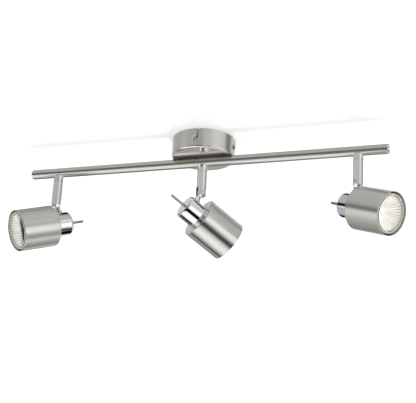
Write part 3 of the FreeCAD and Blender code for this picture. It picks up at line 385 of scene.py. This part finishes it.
def lamp_materials():
    # reflector dish: silvered, fluted glass that glows warm from the burner
    m, n, p = material("dish_lit")
    v = n.add("TexCoord").outputs["Object"]
    xyz = n.add("SeparateXYZ", None, Vector=v)
    x, y, z = xyz.outputs
    r = n.math("SQRT", n.math("ADD", n.math("MULTIPLY", x, x), n.math("MULTIPLY", y, y)))
    depth = n.remap(r, 0.006, 0.0235, 0.0, 1.0)
    sparkle = n.noise(v, 420.0, 3.0, 0.6)
    turn = n.math("ADD", n.math("ARCTAN2", y, x), n.math("MULTIPLY", sparkle, 0.06))
    crease = n.math("ABSOLUTE", n.math("SINE", n.math("MULTIPLY", turn, 18.0)))
    line = n.remap(crease, 0.0, 0.52, 1.0, 0.0, "SMOOTHSTEP")
    line = n.math("MULTIPLY", line, n.remap(depth, 0.05, 0.30, 0.0, 1.0, "SMOOTHSTEP"))
    glow = n.ramp(depth, [(0.0, (1.0, 0.95, 0.86)), (0.35, (1.0, 0.975, 0.92)), (0.75, (1.0, 0.975, 0.925)), (1.0, (0.95, 0.935, 0.89))])
    n.put(p, "Base Color", n.mix(sparkle, (0.30, 0.30, 0.28, 1.0), (0.42, 0.42, 0.39, 1.0)))
    p.inputs["Metallic"].default_value = 1.0
    p.inputs["Roughness"].default_value = 0.22
    n.put(p, "Emission Color", n.mix(line, glow, (0.40, 0.375, 0.33, 1.0)))
    level = n.ramp(depth, [(0.0, (1.3, 1.3, 1.3)), (0.3, (0.92, 0.92, 0.92)), (0.7, (0.80, 0.80, 0.80)), (1.0, (0.60, 0.60, 0.60))])
    n.put(p, "Emission Strength", n.math("MULTIPLY", level, n.remap(sparkle, 0.3, 0.7, 0.86, 1.08)))
    M["dish_lit"] = m

    # the outside of the reflector: dark dichroic coating
    m, n, p = material("dish_back")
    v = n.add("TexCoord").outputs["Object"]
    a = n.noise(v, 60.0, 3.0)
    n.put(p, "Base Color", n.ramp(a, [(0.35, (0.33, 0.36, 0.33)), (0.65, (0.52, 0.53, 0.47))]))
    n.put(p, "Roughness", n.remap(a, 0.3, 0.7, 0.12, 0.22))
    p.inputs["Metallic"].default_value = 0.85
    M["dish_back"] = m

    # pressed glass rim of the reflector
    m, n, p = material("rim_glass")
    v = n.add("TexCoord").outputs["Object"]
    a = n.noise(v, 420.0, 3.0)
    n.put(p, "Base Color", n.ramp(a, [(0.3, (0.36, 0.37, 0.34)), (0.7, (0.48, 0.49, 0.45))]))
    n.put(p, "Roughness", n.remap(a, 0.3, 0.7, 0.14, 0.26))
    p.inputs["Coat Weight"].default_value = 0.8
    p.inputs["Coat Roughness"].default_value = 0.05
    p.inputs["Emission Color"].default_value = (1.0, 0.98, 0.90, 1.0)
    p.inputs["Emission Strength"].default_value = 0.15
    M["rim_glass"] = m

    # clear cover glass
    m, n, p = material("cover_glass")
    v = n.add("TexCoord").outputs["Object"]
    a = n.noise(v, 90.0, 3.0)
    n.put(p, "Base Color", n.ramp(a, [(0.3, (0.975, 0.985, 0.970)), (0.7, (0.990, 0.990, 0.980))]))
    n.put(p, "Roughness", n.remap(a, 0.3, 0.7, 0.0, 0.03))
    p.inputs["Transmission Weight"].default_value = 1.0
    p.inputs["IOR"].default_value = 1.47
    M["cover_glass"] = m

    # quartz of the capsule
    m, n, p = material("quartz")
    v = n.add("TexCoord").outputs["Object"]
    a = n.noise(v, 500.0, 3.0)
    n.put(p, "Base Color", n.ramp(a, [(0.3, (1.0, 0.985, 0.95)), (0.7, (1.0, 0.995, 0.975))]))
    n.put(p, "Roughness", n.remap(a, 0.3, 0.7, 0.02, 0.10))
    p.inputs["Transmission Weight"].default_value = 1.0
    p.inputs["IOR"].default_value = 1.45
    p.inputs["Emission Color"].default_value = (1.0, 0.86, 0.66, 1.0)
    p.inputs["Emission Strength"].default_value = 0.5
    M["quartz"] = m

    # tungsten coil
    m, n, p = material("filament")
    v = n.add("TexCoord").outputs["Object"]
    a = n.noise(v, 2000.0, 2.0)
    n.put(p, "Base Color", n.ramp(a, [(0.3, (0.5, 0.45, 0.4)), (0.7, (0.7, 0.62, 0.55))]))
    n.put(p, "Emission Color", n.ramp(a, [(0.3, (1.0, 0.72, 0.40)), (0.7, (1.0, 0.84, 0.58))]))
    p.inputs["Emission Strength"].default_value = 9.0
    M["filament"] = m


lamp_materials()

SLOTS = {
    "brushed_nickel": "nickel_canopy",
    "brushed_nickel_bar": "nickel_bar",
    "chrome": "chrome",
    "polished_screws": "screw_polish",
    "zinc_steel": "zinc",
    "white_plastic": "plastic_white",
    "brass": "brass",
    "brown_insulation": "wire_brown",
    "blue_insulation": "wire_blue",
    "green_yellow_insulation": "wire_earth",
    "white_ceramic": "ceramic",
    "dichroic_glass": "dish_back",
    "clear_glass": "cover_glass",
    "quartz_glass": "quartz",
}
for name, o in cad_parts.items():
    for s in o.material_slots:
        s.material = M[SLOTS[s.material.name.split(".")[0]]]
    # handle pins get the darkened chrome: painted shade
    if name.startswith(("arm_tube", "handle_pin")):
        for s in o.material_slots:
            s.material = M["chrome_arm" if name.startswith("arm") else "chrome_pin_painted_shade"]

# ---------------------------------------------------------------- turned pieces


def rounded(points, guard=0.12, steps=5):
    """A profile's corners as arcs, in mm. Each point is (r, z) or (r, z, radius). A guard point beside each arc keeps flats flat."""
    out, k = [], len(points)
    for i, p in enumerate(points):
        rad = p[2] if len(p) > 2 else 0.0
        here = Vector(p[:2])
        if rad <= 0:
            out.append(here)
            continue
        a, b = Vector(points[i - 1][:2]), Vector(points[(i + 1) % k][:2])
        u, v = (a - here).normalized(), (b - here).normalized()
        half = math.acos(max(-1.0, min(1.0, u.dot(v)))) / 2
        back = rad / math.tan(half)
        centre = here + (u + v).normalized() * (rad / math.sin(half))
        s, e = here + u * back, here + v * back
        g = min(guard, (a - here).length * 0.2, (b - here).length * 0.2)
        if (a - s).length > 3 * g:
            out.append(s + u * g)
        a0, a1 = math.atan2(*(s - centre).yx), math.atan2(*(e - centre).yx)
        turn = (a1 - a0 + math.pi) % (2 * math.pi) - math.pi
        for j in range(steps + 1):
            t = a0 + turn * j / steps
            out.append(centre + Vector((math.cos(t), math.sin(t))) * rad)
        if (b - e).length > 3 * g:
            out.append(e + v * g)
    return [(p[0], p[1]) for p in out]


def turned(name, prof, seg, closed=True, smooth=True, bend=None):
    """A body of revolution about its own Z. prof is (r, z) in mm. Its UV map runs along the profile, then round."""
    me = bpy.data.meshes.new(name)
    bm = bmesh.new()
    uv = bm.loops.layers.uv.new("turned")
    rings, run, s = [], [], 0.0
    for i, (r, z) in enumerate(prof):
        if i:
            s += math.dist(prof[i - 1], prof[i])
        run.append(s)
        if r < 1e-6:
            rings.append([bm.verts.new((0, 0, z * MM))])
        else:
            ring = []
            for j in range(seg):
                a = 2 * math.pi * j / seg
                rr, zz = bend(r, z, j) if bend else (r, z)
                ring.append(bm.verts.new((rr * MM * math.cos(a), rr * MM * math.sin(a), zz * MM)))
            rings.append(ring)
    pairs = [(i, i + 1) for i in range(len(prof) - 1)]
    total = s
    if closed and prof[0][0] > 1e-6 and prof[-1][0] > 1e-6:
        total = s + math.dist(prof[-1], prof[0])
        pairs.append((len(prof) - 1, 0))
    for a, b in pairs:
        ra, rb = rings[a], rings[b]
        ua, ub = run[a], run[b] if b else total
        for j in range(seg):
            k = (j + 1) % seg
            v0, v1 = j / seg, (j + 1) / seg
            if len(ra) == 1 and len(rb) == 1:
                continue
            if len(ra) == 1:
                f, c = (ra[0], rb[j], rb[k]), ((ua, (v0 + v1) / 2), (ub, v0), (ub, v1))
            elif len(rb) == 1:
                f, c = (ra[j], rb[0], ra[k]), ((ua, v0), (ub, (v0 + v1) / 2), (ua, v1))
            else:
                f = (ra[j], rb[j], rb[k], ra[k])
                c = ((ua, v0), (ub, v0), (ub, v1), (ua, v1))
            face = bm.faces.new(f)
            face.smooth = smooth
            for l, q in zip(face.loops, c):
                l[uv].uv = (q[0] * 0.01, q[1])
    if closed:
        bmesh.ops.recalc_face_normals(bm, faces=bm.faces)
    bm.to_mesh(me)
    bm.free()
    o = bpy.data.objects.new(name, me)
    SCENE.collection.objects.link(o)
    return o


# ---------------------------------------------------------------- heads

HEADS = {"left": (-210.0, 228.2, -20.3), "centre": (0.0, 48.6, -26.3), "right": (210.0, -25.3, -20.2)}
ARM_DROP, REACH = -74.5, 32.0


def head_frame(x, pan, tilt):
    p, t = math.radians(pan), math.radians(tilt)
    d = Vector((math.cos(t) * math.cos(p), math.cos(t) * math.sin(p), math.sin(t)))
    n = Vector((-math.sin(t) * math.cos(p), -math.sin(t) * math.sin(p), math.cos(t)))
    w = d.cross(n)
    at = (Vector((x, 0.0, ARM_DROP)) - n * REACH) * MM
    m = Matrix.Identity(4)
    for i in range(3):
        m[i][0], m[i][1], m[i][2], m[i][3] = n[i], w[i], d[i], at[i]
    return m


def place(o, side, mat, slot, *nodes):
    o.matrix_world = head_frame(*HEADS[side])
    if mat:
        o.data.materials.append(M[mat])
    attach(o, "head_" + side)
    if nodes:
        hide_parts(*nodes)
    return o


SHADE = [
    (10.2, 14.4, 0.25), (28.0, 14.4, 1.2), (28.0, 67.4, 0.42), (27.0, 67.4, 0.42), (27.0, 15.6, 0.6), (10.2, 15.6, 0.25),
]
CUP = [
    (0.0, -11.3), (16.0, -11.3, 3.2), (16.0, 14.4, 0.35), (14.6, 14.4, 0.35), (14.6, -9.5, 1.6), (0.0, -9.5),
]
DISH_OUT = [(11.6, 30.2), (13.6, 34.4), (16.4, 39.4), (18.9, 44.4), (21.1, 49.4), (23.0, 54.4), (24.4, 58.4)]


def fine_curve(pts, n=28):
    """Points along a smooth curve through pts."""
    out = []
    for i in range(len(pts) - 1):
        p0, p1, p2, p3 = pts[max(0, i - 1)], pts[i], pts[i + 1], pts[min(len(pts) - 1, i + 2)]
        m = max(1, round(n * math.dist(p1, p2) / 40.0))
        for j in range(m):
            t = j / m
            out.append(tuple(
                0.5 * (2 * b + (c - a) * t + (2 * a - 5 * b + 4 * c - d) * t * t + (3 * b - a - 3 * c + d) * t ** 3)
                for a, b, c, d in zip(p0, p1, p2, p3)
            ))
    out.append(pts[-1])
    return out


def build_head(side):
    h = "_" + side
    place(turned("shade_shell" + h, rounded(SHADE), 192), side, "nickel_turned", "brushed_nickel", "shade" + h)
    place(turned("cup_shell" + h, rounded(CUP, steps=10), 128, closed=False), side, "chrome", "chrome", "holder_cup" + h)

    # lamp: outside of the reflector with its pressed rim
    outer = DISH_OUT
    shell = fine_curve(outer) + [(25.2, 60.4), (25.2, 65.5), (24.8, 66.0), (23.9, 66.0), (23.62, 65.7), (23.6, 61.4)]
    inner = [(r - 1.0, z + 0.4) for r, z in reversed(fine_curve(outer))]
    o = turned("reflector_shell" + h, shell + inner, 128)
    place(o, side, "dish_back", "dichroic_glass", "lamp_reflector" + h)
    o.data.materials.append(M["rim_glass"])
    for f in o.data.polygons:
        if f.center.z > 59.9 * MM:
            f.material_index = 1

    # the lit inside, fluted
    FL = 36

    def flute(r, z, j):
        k = (r - 5.0) / 17.6
        return (r, z + (0.55 if j % 2 else -0.25) * max(0.1, min(1.0, k)))

    lit = [(r, 47.5 + r * r / 37.0) for r in (4.6, 6.0, 8.0, 10.0, 12.0, 14.0, 16.0, 18.0, 20.0, 21.4, 22.6)]
    back = [(r + 0.12, z - 0.4) for r, z in reversed(lit)]
    o = turned("reflector_flutes" + h, lit + back, FL * 2, smooth=False, bend=flute)
    place(o, side, "dish_lit", "dichroic_glass")

    # cover glass, with a pressed ring near its edge
    g = [
        (0.0, 66.22), (19.6, 66.22), (20.0, 66.15), (20.5, 66.02), (21.1, 66.02), (21.6, 66.15), (22.0, 66.26), (22.9, 66.26), (23.3, 66.10), (23.5, 65.70),
        (23.5, 64.60), (23.2, 64.30), (22.6, 64.20), (0.0, 64.20),
    ]
    place(turned("cover_glass" + h, g, 128, closed=False), side, "cover_glass", "clear_glass", "lamp_glass" + h)

    # burner capsule and its coil
    c = [(0.0, 27.95), (2.6, 27.95), (3.0, 28.6), (3.0, 31.5), (3.5, 33.2), (4.1, 34.6), (4.3, 36.0), (4.3, 42.6), (4.0, 44.4), (3.2, 46.0), (2.0, 47.1), (0.9, 47.8), (0.5, 48.6), (0.0, 48.9)]
    place(turned("burner" + h, fine_curve(c, 60), 48, closed=False), side, "quartz", "quartz_glass", "lamp_capsule" + h)
    coil = bpy.data.curves.new("coil" + h, "CURVE")
    coil.dimensions = "3D"
    coil.bevel_depth = 0.00022
    coil.bevel_resolution = 2
    sp = coil.splines.new("POLY")
    pts = []
    for i in range(97):
        t = i / 96
        a = 2 * math.pi * 9 * t
        pts.append((-2.4 + 4.8 * t, 0.8 * math.cos(a), 38.6 + 0.8 * math.sin(a)))
    pts = [(-2.4, 0.3, 29.5), (-2.4, 0.3, 34.0)] + pts + [(2.4, 0.3, 34.0), (2.4, 0.3, 29.5)]
    sp.points.add(len(pts) - 1)
    for q, p in zip(sp.points, pts):
        q.co = (p[0] * MM, p[1] * MM, p[2] * MM, 1.0)
    o = bpy.data.objects.new("coil" + h, coil)
    SCENE.collection.objects.link(o)
    place(o, side, "filament", "quartz_glass")


for side in HEADS:
    build_head(side)
